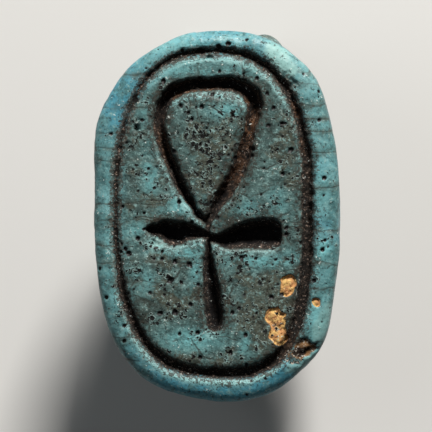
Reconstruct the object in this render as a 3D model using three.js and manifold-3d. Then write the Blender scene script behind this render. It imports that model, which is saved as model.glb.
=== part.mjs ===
// Frog amulet of glazed faience: a squatting frog on an oval plate, pierced lengthwise for
// a thread, with an ankh inside an oval border line cut into the plate's underside.
// Millimetres. The amulet lies on the frog's back with its carved face up. +Z points out of
// the carved face and +Y towards the frog's head. The origin is on the surface that it lies
// on, below the middle of its outline.
import * as THREE from "three";
import { mergeVertices } from "three/addons/utils/BufferGeometryUtils.js";
import Module from "manifold-3d";

// The oval plate
const plateLength = 16.0;
const plateWidth = 10.6;
const plateThickness = 1.9;
const plateSquareness = 2.5; // exponent of the oval, where 2 is an ellipse
const sealEdgeRound = 0.5; // rounding of the edge at the carved face
const backEdgeRound = 0.35; // rounding of the edge on the frog's side
const plateCorners = 80; // points round the oval

// The plate was trimmed by hand: places where its edge stands out from the oval or falls
// short of it, each by so many millimetres at so many degrees from +X, over a spread.
const trimming = [
  { at: 53, out: 0.14, spread: 8 },
  { at: 108, out: -0.14, spread: 11 },
  { at: 141, out: 0.27, spread: 15 },
  { at: 233, out: 0.09, spread: 14 },
  { at: 258, out: -0.09, spread: 10 },
  { at: 283, out: 0.09, spread: 13 },
  { at: 310, out: 0.26, spread: 10 },
];

// The border line, placed by its distance from the plate's edge on each side
const borderInset = { left: 0.95, right: 1.25, head: 0.9, tail: 1.25 };
const borderWidth = 0.52;
const borderDepth = 0.42;
// Where the hand that cut it strayed from its oval, in the same terms as the trimming
const straying = [
  { at: 0, out: -0.12, spread: 32 },
  { at: 295, out: 0.36, spread: 17 },
];

// The ankh, placed by the point where its arms cross
const ankhHeight = 11.0;
const ankhWidth = 5.7;
const ankhDepth = 0.85; // at its broadest stroke
const ankhCrossing = { x: -0.35, y: -0.88 };

// Every cut narrows to this share of its width at its floor, its thinnest places go to
// this share of its depth, and its cutter starts this far above the face.
const floorShare = 0.45;
const shallowShare = 0.4;
const cutterRise = 0.2;

// The frog, measured over all, and the hole for the thread
const frogLength = 15.4;
const frogWidth = 10.0;
const frogHeight = 6.9; // above the plate
const frogAhead = 0.15; // how far the frog's middle lies ahead of the plate's
const frogTurn = 1; // degrees that the frog is askew on its plate
const wornDepth = 0.13; // rubbed off the eyes and the back, where the amulet lies
const mouthDepth = 0.2;
const mouthWidth = 0.18;
const threadHole = 1.3; // diameter
const threadHoleRise = 0.3; // between the plate and the hole

const faience = new THREE.MeshStandardMaterial({
  color: 0x5f9d9e,
  roughness: 0.45,
  metalness: 0,
});

const degrees = Math.PI / 180;
const plateBack = frogHeight - wornDepth; // level of the face that the frog sits on
const sealFace = plateBack + plateThickness; // level of the carved face

const wasm = await Module();
wasm.setup();

// A mesh as a manifold-3d solid, in the frame of its outermost group. Faces that point
// inwards are turned round.
function solid(mesh) {
  mesh.updateWorldMatrix(true, false);
  const bare = mesh.geometry.clone().applyMatrix4(mesh.matrixWorld);
  bare.deleteAttribute("normal");
  bare.deleteAttribute("uv");
  const merged = mergeVertices(bare, 1e-4);
  const vertProperties = merged.attributes.position.array;
  const triVerts = new Uint32Array(merged.index.array);
  const made = new wasm.Manifold(new wasm.Mesh({ numProp: 3, vertProperties, triVerts }));
  if (made.volume() > 0) return made;
  return new wasm.Manifold(
    new wasm.Mesh({ numProp: 3, vertProperties, triVerts: triVerts.reverse() }),
  );
}

// A manifold-3d solid as a geometry with flat faces.
function geometryOf(made) {
  const { vertProperties, triVerts } = made.getMesh();
  const geometry = new THREE.BufferGeometry();
  geometry.setAttribute("position", new THREE.BufferAttribute(vertProperties, 3));
  geometry.setIndex(new THREE.BufferAttribute(triVerts, 1));
  const flat = geometry.toNonIndexed();
  flat.computeVertexNormals();
  return flat;
}

function joined(solids) {
  return solids.reduce((all, one) => all.add(one));
}

// A closed skin over rings of equally many points. Where looped, the last ring joins the
// first, and otherwise each end is closed by a fan about its ring's middle.
function skinOver(rings, looped = false) {
  const count = rings[0].length;
  const points = rings.flat();
  const faces = [];
  const bands = looped ? rings.length : rings.length - 1;
  for (let r = 0; r < bands; r++) {
    const next = (r + 1) % rings.length;
    for (let i = 0; i < count; i++) {
      const j = (i + 1) % count;
      const [a, b, c, d] = [r * count + i, r * count + j, next * count + j, next * count + i];
      faces.push(a, b, c, a, c, d);
    }
  }
  if (!looped) {
    for (const [ring, first, flip] of [
      [rings[0], 0, true],
      [rings.at(-1), (rings.length - 1) * count, false],
    ]) {
      const middle = ring.reduce((sum, p) => sum.add(p), new THREE.Vector3());
      points.push(middle.divideScalar(count));
      for (let i = 0; i < count; i++) {
        const [a, b] = [first + i, first + ((i + 1) % count)];
        faces.push(points.length - 1, ...(flip ? [b, a] : [a, b]));
      }
    }
  }
  const geometry = new THREE.BufferGeometry().setFromPoints(points);
  geometry.setIndex(faces);
  return new THREE.Mesh(geometry);
}

// Distance from the middle of an oval to its edge: |x/a|^n + |y/b|^n = 1.
function ovalRadius(angle, halfWidth, halfLength) {
  const across = Math.abs(Math.cos(angle) / halfWidth) ** plateSquareness;
  const along = Math.abs(Math.sin(angle) / halfLength) ** plateSquareness;
  return (across + along) ** (-1 / plateSquareness);
}

// How far a line stands out from its oval at an angle: the sum of a bell curve for each place.
function swell(places, angle) {
  return places.reduce((sum, { at, out, spread }) => {
    const away = THREE.MathUtils.euclideanModulo(angle / degrees - at + 180, 360) - 180;
    return sum + out * Math.exp(-((away / spread) ** 2));
  }, 0);
}

function plateRadius(angle) {
  return ovalRadius(angle, plateWidth / 2, plateLength / 2) + swell(trimming, angle);
}

// The plate's outline, moved inwards by an inset, at a level.
function plateRing(inset, level) {
  const ring = [];
  const step = 1e-3;
  for (let i = 0; i < plateCorners; i++) {
    const angle = (i / plateCorners) * 2 * Math.PI;
    const at = (a) => {
      const r = plateRadius(a);
      return new THREE.Vector3(r * Math.cos(a), r * Math.sin(a), level);
    };
    const along = at(angle + step).sub(at(angle - step)).normalize();
    const inwards = new THREE.Vector3(-along.y, along.x, 0);
    ring.push(at(angle).addScaledVector(inwards, inset));
  }
  return ring;
}

// The plate: rings from the carved face, round its edge, down the side and round the edge
// on the frog's side.
function plate() {
  const rings = [];
  const roundSteps = 4;
  for (let k = 0; k <= roundSteps; k++) {
    const turn = (k / roundSteps) * (Math.PI / 2);
    const inset = sealEdgeRound * (1 - Math.sin(turn));
    rings.push(plateRing(inset, sealFace - sealEdgeRound * (1 - Math.cos(turn))));
  }
  for (let k = 0; k <= roundSteps; k++) {
    const turn = (k / roundSteps) * (Math.PI / 2);
    const inset = backEdgeRound * (1 - Math.cos(turn));
    rings.push(plateRing(inset, plateBack + backEdgeRound * (1 - Math.sin(turn))));
  }
  return solid(skinOver(rings));
}

// The cutter of a stroke: stations of x, y and half-width, joined smoothly, with walls
// that slope in to a floor. It goes to its full depth where it is broadest.
function strokeCutter(stations, depth, steps, looped = false) {
  const broadest = Math.max(...stations.map((s) => s.z));
  const line = new THREE.CatmullRomCurve3(stations, looped, "centripetal");
  const rings = [];
  const last = looped ? steps - 1 : steps;
  for (let i = 0; i <= last; i++) {
    const here = line.getPointAt(i / steps);
    const along = line.getTangentAt(i / steps).setZ(0).normalize();
    const side = new THREE.Vector3(-along.y, along.x, 0);
    const reach = depth * (shallowShare + (1 - shallowShare) * (here.z / broadest));
    const spread = 1 + ((1 - floorShare) * cutterRise) / reach;
    const corner = (share, level) =>
      new THREE.Vector3(here.x, here.y, level).addScaledVector(side, share * here.z);
    rings.push([
      corner(-spread, sealFace + cutterRise),
      corner(spread, sealFace + cutterRise),
      corner(floorShare, sealFace - reach),
      corner(-floorShare, sealFace - reach),
    ]);
  }
  return solid(skinOver(rings, looped));
}

function borderLine() {
  const { left, right, head, tail } = borderInset;
  const middle = { x: (left - right) / 2, y: (tail - head) / 2 };
  const halfWidth = (plateWidth - left - right) / 2;
  const halfLength = (plateLength - head - tail) / 2;
  const stations = [];
  const steps = 60;
  for (let i = 0; i < steps; i++) {
    const angle = (i / steps) * 2 * Math.PI;
    const r = ovalRadius(angle, halfWidth, halfLength) + swell(straying, angle);
    const x = middle.x + r * Math.cos(angle);
    const y = middle.y + r * Math.sin(angle);
    stations.push(new THREE.Vector3(x, y, borderWidth / 2));
  }
  return strokeCutter(stations, borderDepth, steps, true);
}

// The ankh's strokes: each one's depth as a share of the ankh's, its steps and its stations.
// The stations are placed from the crossing, x and half-width in hundredths of the ankh's
// width and y in hundredths of its height.
const ankhStrokes = {
  loop: {
    deep: 0.8,
    steps: 56,
    looped: true,
    stations: [
      [-0.7, 5.9, 2.6],
      [-18.9, 18, 4.6],
      [-29.5, 29.8, 5.3],
      [-37, 43.1, 5.3],
      [-31.5, 54.5, 5.8],
      [-16.7, 58.4, 6.1],
      [3, 59.4, 6.1],
      [22.6, 58.7, 6.5],
      [34.5, 53.6, 7],
      [31.6, 42.3, 5.2],
      [22.6, 25.8, 6.5],
      [6.8, 12.2, 5.3],
    ],
  },
  neck: {
    deep: 0.5,
    steps: 3,
    stations: [
      [0, 7.5, 3.2],
      [0, 3.5, 2.9],
      [0, -0.5, 2.6],
    ],
  },
  leftArm: {
    deep: 1,
    steps: 14,
    stations: [
      [2, 0, 2.6],
      [-7.5, 1.4, 4.6],
      [-16.7, 1.4, 7.5],
      [-25.8, 0.9, 9.8],
      [-34, 2.5, 7.2],
      [-42.3, 2.5, 3.9],
      [-46.1, 2.5, 1.2],
    ],
  },
  rightArm: {
    deep: 1,
    steps: 16,
    stations: [
      [-2, 0, 2.6],
      [7.5, -1.2, 4.9],
      [16.7, -1.2, 8.2],
      [26.3, 0, 10.6],
      [36.3, 0.4, 11.8],
      [45.4, 0.8, 12.1],
      [51.4, 0.8, 9.8],
      [54.4, 0.8, 6.1],
    ],
  },
  stem: {
    deep: 0.85,
    steps: 16,
    stations: [
      [0, 0, 1.9],
      [0, -7.5, 3.3],
      [1, -13.4, 5.3],
      [2, -19.2, 6.6],
      [3.4, -25, 7.6],
      [4.6, -30.3, 7.8],
      [5, -34.3, 7],
      [4.8, -36.6, 4.6],
    ],
  },
};

function ankh() {
  const cutters = Object.values(ankhStrokes).map(({ deep, steps, looped, stations }) => {
    const placed = stations.map(([x, y, half]) => {
      const across = ankhCrossing.x + (x / 100) * ankhWidth;
      const along = ankhCrossing.y + (y / 100) * ankhHeight;
      return new THREE.Vector3(across, along, (half / 100) * ankhWidth);
    });
    return strokeCutter(placed, deep * ankhDepth, steps, looped);
  });
  return joined(cutters);
}

// The frog stands in its own group: +Y ahead, +Z up, the plate under it at z = 0. Places
// and radii are hundredths of its half width, half length and height.
const frog = new THREE.Group();
frog.rotation.set(0, Math.PI, -frogTurn * degrees, "ZYX");
frog.position.set(0, frogAhead, plateBack);

function frogPlace([x, y, z]) {
  return new THREE.Vector3(x * (frogWidth / 2), y * (frogLength / 2), z * frogHeight).divideScalar(100);
}

function swelling({ at, radii, turn = [0, 0, 0], facets = [18, 12] }) {
  const mesh = new THREE.Mesh(new THREE.SphereGeometry(1, ...facets));
  mesh.position.copy(frogPlace(at));
  mesh.scale.copy(frogPlace(radii));
  mesh.rotation.set(...turn.map((a) => a * degrees));
  frog.add(mesh);
  return mesh;
}

const limbFacets = [3, 8]; // steps round each end, and sides
function limb({ from, to, radius }) {
  const [start, end] = [frogPlace(from), frogPlace(to)];
  const along = end.clone().sub(start);
  const thickness = (radius / 100) * frogHeight;
  const mesh = new THREE.Mesh(new THREE.CapsuleGeometry(thickness, along.length(), ...limbFacets));
  mesh.position.copy(start).add(end).divideScalar(2);
  mesh.quaternion.setFromUnitVectors(new THREE.Vector3(0, 1, 0), along.normalize());
  frog.add(mesh);
  return mesh;
}

const trunk = {
  back: { at: [0, -26, 40], radii: [73, 73, 60], facets: [24, 14] },
  rump: { at: [0, -74, 24], radii: [52, 26, 32] },
  belly: { at: [0, -12, 8], radii: [85, 78, 24], facets: [22, 8] },
  nape: { at: [0, 26, 55], radii: [62, 46, 39], facets: [20, 12] },
  chest: { at: [0, 42, 26], radii: [54, 38, 44] },
  head: { at: [0, 57, 56], radii: [69, 39, 36], facets: [22, 12] },
  snout: { at: [0, 74, 53], radii: [52, 26, 28], facets: [22, 12] },
};

// Parts that come in pairs, written for the side where x is above zero
const pairedSwellings = {
  eye: { at: [31.5, 81.5, 77], radii: [23, 20, 23] },
  thigh: { at: [67, -44, 26], radii: [31, 43, 32], turn: [-8, 0, -8] },
  shoulder: { at: [55, 24, 36], radii: [28, 20, 28], facets: [14, 10] },
  hindFoot: { at: [80, -18, 1.5], radii: [16, 22, 9], facets: [12, 8] },
  hand: { at: [57, 62, 1.5], radii: [17, 12, 9], facets: [12, 8] },
};
const pairedLimbs = {
  shin: { from: [86, -8, 16], to: [80, -58, 7], radius: 9 },
  upperArm: { from: [64, 26, 42], to: [80, 20, 18], radius: 11 },
  forearm: { from: [80, 20, 18], to: [63, 54, 6], radius: 9.5 },
};

// Toes fan out from the front of a foot, by their angles from straight ahead.
const toes = [
  { root: [84, -4, 1.5], angles: [-28, 0, 28], length: 9 },
  { root: [56, 72, 1.5], angles: [-32, 0, 32], length: 7 },
];
const toeRadius = 4.2;

function mirrored([x, y, z], side) {
  return [side * x, y, z];
}

function frogParts() {
  const parts = Object.values(trunk).map(swelling);
  for (const side of [-1, 1]) {
    for (const { at, radii, turn = [0, 0, 0], facets } of Object.values(pairedSwellings)) {
      const turned = [turn[0], side * turn[1], side * turn[2]];
      parts.push(swelling({ at: mirrored(at, side), radii, turn: turned, facets }));
    }
    for (const { from, to, radius } of Object.values(pairedLimbs)) {
      parts.push(limb({ from: mirrored(from, side), to: mirrored(to, side), radius }));
    }
    for (const { root, angles, length } of toes) {
      for (const angle of angles) {
        const [x, y, z] = root;
        const across = length * Math.sin(angle * degrees) * (frogLength / frogWidth);
        const tip = [x + across, y + length * Math.cos(angle * degrees), z];
        parts.push(
          limb({ from: mirrored(root, side), to: mirrored(tip, side), radius: toeRadius }),
        );
      }
    }
  }
  return joined(parts.map(solid));
}

// The slit of the mouth: a level slab, from below the eyes forwards, that leaves what lies
// deeper inside the head than the slit goes. Its place is in the frog's shares.
const mouthBack = { at: [0, 50, 49] };
function mouth() {
  const size = 2 * frogWidth;
  const slab = new THREE.Mesh(new THREE.BoxGeometry(size, size, mouthWidth));
  slab.position.copy(frogPlace(mouthBack.at));
  slab.position.y += size / 2;
  frog.add(slab);
  const deeper = [trunk.head, trunk.snout, trunk.chest, trunk.nape].map((part) => {
    const inside = swelling(part);
    inside.scale.subScalar(mouthDepth);
    return solid(inside);
  });
  return solid(slab).subtract(joined(deeper));
}

function threadHoleCutter() {
  const length = 2 * Math.max(plateLength, frogLength);
  const [radius, sides] = [threadHole / 2, 20];
  const mesh = new THREE.Mesh(new THREE.CylinderGeometry(radius, radius, length, sides));
  mesh.position.set(0, 0, threadHoleRise + threadHole / 2);
  frog.add(mesh);
  return solid(mesh);
}

// What lies lower than the surface that the amulet rests on, rubbed off flat.
function wear() {
  const size = 2 * Math.max(plateLength, frogLength);
  const mesh = new THREE.Mesh(new THREE.BoxGeometry(size, size, size));
  mesh.position.set(0, 0, -size / 2);
  return solid(mesh);
}

const amulet = plate()
  .add(frogParts())
  .subtract(mouth())
  .subtract(threadHoleCutter())
  .subtract(wear())
  .subtract(borderLine().add(ankh()));

const group = new THREE.Group();
const piece = new THREE.Mesh(geometryOf(amulet), faience);
piece.name = "frog_amulet";
group.add(piece);

// The middle of the outline goes over the origin.
const box = new THREE.Box3().setFromObject(piece);
const middle = box.getCenter(new THREE.Vector3());
piece.position.set(-middle.x, -middle.y, 0);

export default group;
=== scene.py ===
"""The looks of a frog amulet of glazed faience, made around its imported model.

The amulet lies on the frog's back, so its carved face looks up. Shapes are worked out in
millimetres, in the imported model's own frame: +Z out of the carved face, +Y towards the
frog's head. They become metres only where a mesh is made.

The amulet is one closed skin. Its upper part, with the carved face, the round of its edge
and the upper side wall, is a surface of two parameters. Its lower part, with the rest of
the wall and the frog, is the zero level of a distance function, because the frog's legs,
chin and thread hole overhang. Both end in a ring round the side wall, where they join.
"""
import itertools
import math

import bpy
import numpy as np
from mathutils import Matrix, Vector


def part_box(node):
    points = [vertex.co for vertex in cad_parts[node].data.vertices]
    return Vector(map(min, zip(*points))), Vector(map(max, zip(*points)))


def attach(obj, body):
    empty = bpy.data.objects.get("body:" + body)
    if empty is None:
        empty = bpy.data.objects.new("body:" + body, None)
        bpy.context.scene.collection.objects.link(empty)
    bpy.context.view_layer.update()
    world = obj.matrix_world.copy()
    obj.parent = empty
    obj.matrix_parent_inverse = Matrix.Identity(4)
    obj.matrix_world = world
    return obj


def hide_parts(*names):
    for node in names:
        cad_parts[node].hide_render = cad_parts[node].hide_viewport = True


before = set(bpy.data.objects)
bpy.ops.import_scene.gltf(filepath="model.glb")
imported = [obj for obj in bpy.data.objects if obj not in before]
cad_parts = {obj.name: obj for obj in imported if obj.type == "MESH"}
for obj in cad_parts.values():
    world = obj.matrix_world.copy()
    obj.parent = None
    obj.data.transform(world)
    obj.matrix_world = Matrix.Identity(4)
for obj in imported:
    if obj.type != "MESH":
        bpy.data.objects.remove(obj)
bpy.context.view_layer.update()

MM = 0.001

# Plate, as in the part's own source
PLATE_LENGTH = 16.0
PLATE_WIDTH = 10.6
PLATE_THICKNESS = 1.9
SQUARENESS = 2.5  # exponent of the oval, where 2 is an ellipse
BACK_EDGE_ROUND = 0.35
SEAL_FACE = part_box("frog_amulet")[1][2] / MM  # level of the carved face
PLATE_BACK = SEAL_FACE - PLATE_THICKNESS

# Where the hand-trimmed edge leaves the oval: degrees from +X, millimetres out, spread
TRIMMING = [(53, 0.14, 8), (108, -0.14, 11), (141, 0.27, 15), (233, 0.09, 14), (258, -0.09, 10),
            (283, 0.09, 13), (310, 0.26, 10)]

# Round of the edge at the carved face: how far in it starts and how far down it ends
EDGE_IN = 0.72
EDGE_DOWN = 0.52
JOIN_LEVEL = 7.66  # where the upper and the lower part of the skin meet

# Border line: its distance from the plate's edge on each side, its half width and depth
BORDER_INSET = {"left": 0.95, "right": 1.25, "head": 0.9, "tail": 1.25}
BORDER_HALF = 0.2
BORDER_DEPTH = 0.24
BORDER_DISH = 0.11  # depth of the wide dish that it lies in
BORDER_DISH_HALF = 0.5
BORDER_WIDEST_AT = -35  # degrees from +X
BORDER_SWELL = 0.4  # share by which it is wider and deeper there, and less so opposite
BORDER_WALL = (0.1, 1.3)  # shares of its half width between which its wall rises
BORDER_DISH_FLOOR = 0.05  # distance at which the dish's wall starts
BORDER_SPILL = (0.18, 0.56)  # distances between which its dirt thins out
BORDER_SPILL_SWELL = 0.2  # how much farther that is where the line is widest
STRAYING = [(0, -0.12, 32), (295, 0.36, 17)]  # where it leaves its oval, as in the trimming

# Ankh: x and half width in hundredths of its width, y in hundredths of its height
ANKH_HEIGHT = 11.0
ANKH_WIDTH = 5.7
ANKH_DEPTH = 0.85
ANKH_CROSSING = (-0.35, -0.88)
ANKH_STROKES = {
    "loop": (0.8, True, [
        (-0.7, 5.9, 2.6), (-18.9, 18, 4.6), (-29.5, 29.8, 5.3), (-37, 43.1, 5.3),
        (-31.5, 54.5, 5.8), (-16.7, 58.4, 6.1), (3, 59.4, 6.1), (22.6, 58.7, 6.5),
        (34.5, 53.6, 7), (31.6, 42.3, 5.2), (22.6, 25.8, 6.5), (6.8, 12.2, 5.3)]),
    "neck": (0.5, False, [(0, 7.5, 3.2), (0, 3.5, 2.9), (0, -0.5, 2.6)]),
    "left arm": (1, False, [
        (2, 0, 2.6), (-7.5, 1.4, 4.6), (-16.7, 1.4, 7.5), (-25.8, 0.9, 9.8), (-34, 2.5, 7.2),
        (-42.3, 2.5, 3.9), (-46.1, 2.5, 1.2)]),
    "right arm": (1, False, [
        (-2, 0, 2.6), (7.5, -1.2, 4.9), (16.7, -1.2, 8.2), (26.3, 0, 10.6), (36.3, 0.4, 11.8),
        (45.4, 0.8, 12.1), (51.4, 0.8, 9.8), (54.4, 0.8, 6.1)]),
    "stem": (0.85, False, [
        (0, 0, 1.9), (0, -7.5, 3.3), (1, -13.4, 5.3), (2, -19.2, 6.6), (3.4, -25, 7.6),
        (4.6, -30.3, 7.8), (5, -34.3, 7), (4.8, -36.6, 4.6)]),
}
FLOOR_SHARE = 0.16  # share of a cut's half width at which its wall leaves the floor
SHOULDER_SHARE = 1.17  # and at which it meets the face
SPILL_SHARE = 2.4  # and up to which its dirt spills over the face
STROKE_END = 0.1  # the half width that a stroke has past its end, along itself
SHALLOW_SHARE = 0.4  # share of its depth where a stroke is thinnest
STATION_STEPS = 6  # pieces of line between two stations

# Frog: its size over all, its place on the plate and its parts, each placed and sized in
# hundredths of half its width, half its length and its height above the plate
FROG_LENGTH = 15.4
FROG_WIDTH = 10.0
FROG_HEIGHT = 6.9
FROG_AHEAD = 0.15
FROG_TURN = math.radians(1)
THREAD_HOLE = 1.3
THREAD_HOLE_RISE = 0.3
FROG_SHARES = np.array([FROG_WIDTH / 2, FROG_LENGTH / 2, FROG_HEIGHT]) / 100
TRUNK = {
    "back": ((0, -26, 40), (73, 73, 60)),
    "rump": ((0, -74, 24), (52, 26, 32)),
    "belly": ((0, -12, 8), (85, 78, 24)),
    "nape": ((0, 26, 55), (62, 46, 39)),
    "chest": ((0, 42, 26), (54, 38, 44)),
    "head": ((0, 57, 56), (69, 39, 36)),
    "snout": ((0, 74, 53), (52, 26, 28)),
}
EYE = ((31.5, 81.5, 77), (23, 20, 23))
LIMB_SWELLINGS = {
    "thigh": ((67, -44, 26), (31, 43, 32)),
    "shoulder": ((55, 24, 36), (28, 20, 28)),
    "hind foot": ((80, -18, 1.5), (16, 22, 9)),
    "hand": ((57, 62, 1.5), (17, 12, 9)),
}
THIGH_TURN = math.radians(-8)
LIMBS = {
    "shin": ((86, -8, 16), (80, -58, 7), 9),
    "upper arm": ((64, 26, 42), (80, 20, 18), 11),
    "forearm": ((80, 20, 18), (63, 54, 6), 9.5),
}
TOES = [((84, -4, 1.5), (-28, 0, 28), 9), ((56, 72, 1.5), (-32, 0, 32), 7)]
TOE_RADIUS = 4.2
MOUTH_LEVEL = 49
MOUTH_BACK = 46  # where its groove begins
MOUTH_FRONT = 58  # and ahead of which it has its full depth
MOUTH_RISE = 0.1  # millimetres that it rises towards each side over a quarter of the width
MOUTH_HALF = 0.13
MOUTH_DEPTH = 0.17
NOSTRIL = (13, 95, 66)
NOSTRIL_RADIUS = 0.2
EYE_GROOVE = (0.09, 0.2, 0.15)  # its depth, its distance from the eye and its half width
FILLETS = {"head": 0.7, "trunk": 0.8, "swelling": 0.28, "limb": 0.22, "toe": 0.07, "neck": 0.45,
           "eye": 0.3, "plate": 0.16, "thread hole": 0.18}

# Mesh spacing
FACE_STEP = 0.058
FROG_STEP = 0.13
WALL_STRETCH = 1.3  # spacing of the wall's rings over that of the face
OUTLINE_WALK = 4001  # places on the walk round the outline that gives its lengths of way
SMALL_TURN = 0.001  # radians, for the slope of an outline

# Noise that makes things uneven: strength in the unit of what it is added to, size of its
# largest swells in millimetres, seed and octaves
UNEVENNESS = {
    "cut edges": (0.045, 0.32, 40, 3),
    "chip rims": (0.35, 0.35, 60, 3),
    "chip floors": (0.45, 0.17, 62, 2),
    "pit rims": (0.45, 0.12, 65, 1),
    "glaze swells": (0.03, 1.3, 80, 3),
    "glaze ripples": (0.016, 0.42, 85, 3),
    "dirt crumbs": (0.03, 0.16, 90, 2),
    "stain rims": (0.25, 0.3, 95, 2),
    "craze bends": (0.16, 1.1, 100, 1),
    "craze kinks": (0.07, 0.35, 101, 1),
    "craze strength": (0.6, 1.4, 103, 1),
    "craze gaps": (0.3, 0.4, 104, 1),
    "worn rims": (0.25, 0.4, 110, 3),
    "frog swells": (0.035, 1.3, 180, 3),
    "frog hollow dirt and shade": (0.08, 0.5, 190, 2),
    "frog murk": (1, 1.6, 192, 2),
    "frog azure": (0.5, 3.0, 195, 1),
}


# Noise and small helpers

def smooth_step(value, low, high):
    """0 up to low, 1 from high, and between them 3t^2 - 2t^3 of the share t of the way."""
    t = np.clip((value - low) / (high - low), 0, 1)
    return t * t * (3 - 2 * t)


def lattice_values(corner, seed):
    """A fixed number from 0 to 1 for each point of a lattice: its three whole numbers and
    the seed, each times a large odd number, are added, and the high bits folded back."""
    x, y, z = (corner[..., i].astype(np.int64).astype(np.uint64) for i in range(3))
    mixed = x * np.uint64(0x9E3779B97F4A7C15) + y * np.uint64(0xC2B2AE3D27D4EB4F)
    mixed += z * np.uint64(0x165667B19E3779F9) + np.uint64(seed) * np.uint64(0x27D4EB2F165667C5)
    mixed ^= mixed >> np.uint64(29)
    mixed *= np.uint64(0xBF58476D1CE4E5B9)
    mixed ^= mixed >> np.uint64(32)
    return (mixed >> np.uint64(11)) / float(1 << 53)


def noise(points, size, seed):
    """Smooth noise from -1 to 1: the lattice values at the eight corners of the cube of
    this size that a point lies in, each weighted by a cubic fade along every axis."""
    scaled = points / size
    base = np.floor(scaled)
    fade = scaled - base
    fade = fade * fade * (3 - 2 * fade)
    total = np.zeros(points.shape[:-1])
    for corner in itertools.product((0, 1), repeat=3):
        weight = np.prod(np.where(corner, fade, 1 - fade), axis=-1)
        total += weight * lattice_values(base + corner, seed)
    return 2 * total - 1


def rough(points, size, seed, octaves):
    """A sum of noises, each half as large and half as strong as the one before."""
    return sum(noise(points, size / 2**k, seed + k) / 2**k for k in range(octaves))


def uneven(points, name):
    """The unevenness of this name at each point."""
    strength, size, seed, octaves = UNEVENNESS[name]
    return strength * rough(points, size, seed, octaves)


def scattered_pits(points, radii, seed, share):
    """How far into a pit each point lies, from 0 at its rim to 1 at its middle: each cube of
    a lattice holds one ball at a random place, with a random radius. A ball whose own
    random number comes near the share, or passes it, shrinks to nothing."""
    base = np.floor(points / PIT_SPACING)
    deepest = np.zeros(len(points))
    for step in itertools.product((-1, 0, 1), repeat=3):
        cell = base + step
        places = np.stack([lattice_values(cell, seed + i) for i in range(3)], axis=-1)
        away = np.linalg.norm(points - (cell + places) * PIT_SPACING, axis=-1)
        radius = radii[0] + (radii[1] - radii[0]) * lattice_values(cell, seed + 3) ** 2
        kept = (share - lattice_values(cell, seed + 4)) * PIT_STEEPNESS
        radius = radius * np.clip(kept, PIT_LEAST, 1)
        deepest = np.maximum(deepest, 1 - away / radius)
    return deepest


def alternating_distance(value, places):
    """Signed distance to the nearest of some places on a line, turned over at every second
    one, so that it changes sign at the places and nowhere between them."""
    places = np.asarray(places)
    nearest = np.abs(value[:, None] - places).argmin(axis=1)
    return (value - places[nearest]) * np.where(nearest % 2, -1, 1)


# Outline and cuts

def oval_radius(angle, half_width, half_length):
    """Distance from the middle of an oval to its edge: |x/a|^n + |y/b|^n = 1."""
    across = np.abs(np.cos(angle) / half_width) ** SQUARENESS
    along = np.abs(np.sin(angle) / half_length) ** SQUARENESS
    return (across + along) ** (-1 / SQUARENESS)


def swell(angle, places):
    """The sum of bell curves of the angle, one for each place: its angle, height, spread."""
    away = [((np.degrees(angle) - at + 180) % 360 - 180) / spread for at, _, spread in places]
    return sum(out * np.exp(-(a**2)) for a, (_, out, _) in zip(away, places))


def plate_radius(angle):
    """Distance from the middle of the plate to its hand-trimmed edge."""
    return oval_radius(angle, PLATE_WIDTH / 2, PLATE_LENGTH / 2) + swell(angle, TRIMMING)


def inside_distance(x, y, radius_at):
    """Distance inwards from an outline given by its radius R at each angle: R less the
    point's own radius, divided by the length of (1, R'/R)."""
    angle = np.arctan2(y, x)
    radius = radius_at(angle)
    gain = radius_at(angle + SMALL_TURN) - radius_at(angle - SMALL_TURN)
    slope = gain / (2 * SMALL_TURN * radius)
    return (radius - np.hypot(x, y)) / np.sqrt(1 + slope**2)


def smooth_line(stations, steps, looped):
    """Points on a curve through the stations: between two of them a cubic that leaves and
    meets them along the centripetal tangents worked out from their neighbours."""
    p = np.array(stations, float)
    if looped:
        before, start, end, after = (np.roll(p, k, axis=0) for k in (1, 0, -1, -2))
    else:
        p = np.vstack([2 * p[0] - p[1], p, 2 * p[-1] - p[-2]])
        before, start, end, after = p[:-3], p[1:-2], p[2:-1], p[3:]
    gaps = [np.linalg.norm(b - a, axis=1)[:, None] ** 0.5
            for a, b in ((before, start), (start, end), (end, after))]
    leave = (start - before) / gaps[0] - (end - before) / (gaps[0] + gaps[1])
    leave = (leave + (end - start) / gaps[1]) * gaps[1]
    meet = (end - start) / gaps[1] - (after - start) / (gaps[1] + gaps[2])
    meet = (meet + (after - end) / gaps[2]) * gaps[1]
    t = np.linspace(0, 1, steps, endpoint=False)[None, :, None]
    start, end, leave, meet = (v[:, None, :] for v in (start, end, leave, meet))
    line = (2 * t**3 - 3 * t**2 + 1) * start + (t**3 - 2 * t**2 + t) * leave
    line = line + (3 * t**2 - 2 * t**3) * end + (t**3 - t**2) * meet
    line = line.reshape(-1, p.shape[1])
    return np.vstack([line, line[:1] if looped else p[-2:-1]])


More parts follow.
